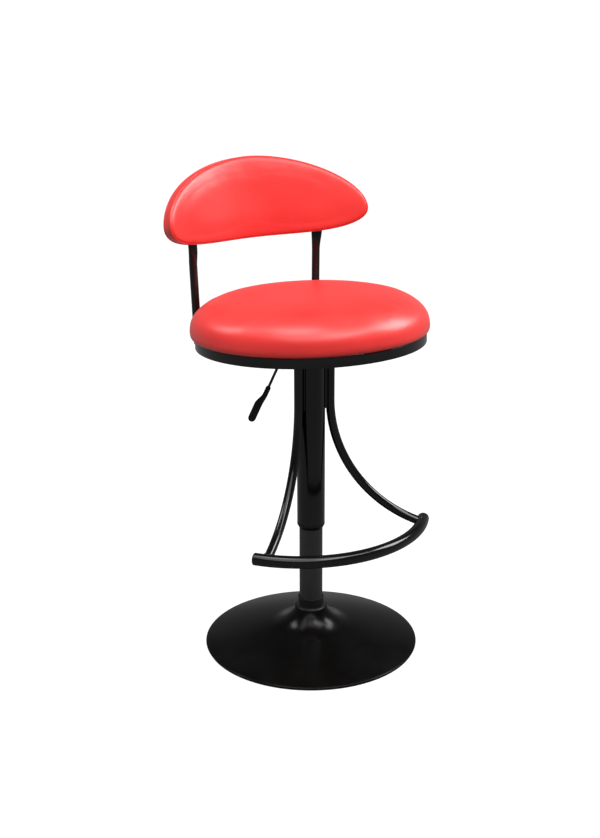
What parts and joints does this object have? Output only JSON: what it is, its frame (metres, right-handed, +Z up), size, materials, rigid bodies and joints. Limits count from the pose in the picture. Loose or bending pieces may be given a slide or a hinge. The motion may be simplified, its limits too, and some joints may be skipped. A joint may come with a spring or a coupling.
{
  "type": "adjustable swivel stool",
  "caption": "Bar stool with a round padded seat, curved padded backrest, trumpet base, gas-lift column, curved footrest bar and release lever.",
  "frame": {"origin": "on the floor, on the column's axis", "axes": "+Z up along the column; the sitter faces -Y; +X is to the sitter's left"},
  "size_m": [0.423, 0.4547, 0.8843],
  "materials": {
    "gloss_black": "gloss",
    "satin_grey": "satin",
    "steel": "satin",
    "ballast": "matte",
    "black_plastic": "satin",
    "rubber": "matte",
    "plywood": "matte",
    "foam": "matte",
    "red_vinyl": "satin"
  },
  "bodies": {
    "base": {"floor_ring": "rubber", "base_shell": "gloss_black", "base_weight": "ballast", "hub_socket": "steel", "hub_bolts": "steel", "column_collar": "black_plastic", "lower_column": "satin_grey", "column_floor": "steel", "race_lower": "steel", "bearing_balls": "steel", "guide_bush": "black_plastic"},
    "spindle": {"piston_rod": "steel", "piston": "black_plastic", "race_upper": "steel", "rod_clip": "steel"},
    "upper": {"gas_cylinder": "satin_grey", "rod_gland": "black_plastic", "valve_block": "steel", "taper_socket": "satin_grey", "sleeve": "gloss_black", "sleeve_bush": "black_plastic", "top_plate": "gloss_black", "tilt_bracket": "gloss_black", "seat_plate": "gloss_black", "cross_bar_left": "gloss_black", "cross_bar_right": "gloss_black", "seat_ring": "gloss_black", "seat_bolts": "steel", "seat_tee_nuts": "steel", "seat_board": "plywood", "seat_foam": "foam", "seat_cover": "red_vinyl", "strut_left": "gloss_black", "strut_right": "gloss_black", "web_left": "gloss_black", "web_right": "gloss_black", "footrest_bar": "gloss_black", "footrest_caps": "black_plastic", "post_bracket_left": "gloss_black", "post_bracket_right": "gloss_black", "post_left": "gloss_black", "post_right": "gloss_black", "post_caps": "black_plastic", "post_bolts": "gloss_black", "post_nuts": "steel", "back_screws": "gloss_black", "back_tee_nuts": "steel", "back_board": "plywood", "back_foam": "foam", "back_cover": "red_vinyl", "lever_pin": "steel"},
    "lever": {"lever_rod": "gloss_black", "lever_handle": "black_plastic"},
    "valve": {"release_pin": "steel"}
  },
  "joints": [
    {"name": "swivel", "type": "hinge", "parent": "base", "child": "spindle", "pos_m": [0, 0, 0.025], "axis": [0, 0, 1], "continuous": true},
    {"name": "lift", "type": "slide", "parent": "spindle", "child": "upper", "axis": [0, 0, 1], "range_m": [-0.135, 0.065]},
    {"name": "lever_pull", "type": "hinge", "parent": "upper", "child": "lever", "pos_m": [-0.024, 0, 0.588], "axis": [0, 1, 0], "range_deg": [0, 9], "stiffness_Nm_per_rad": 1.5},
    {"name": "valve_press", "type": "slide", "parent": "upper", "child": "valve", "axis": [0, 0, 1], "range_m": [-0.004, 0]}
  ],
  "couplings": [
    {"joint": "valve_press", "follows": "lever_pull", "m_per_rad": -0.024}
  ]
}
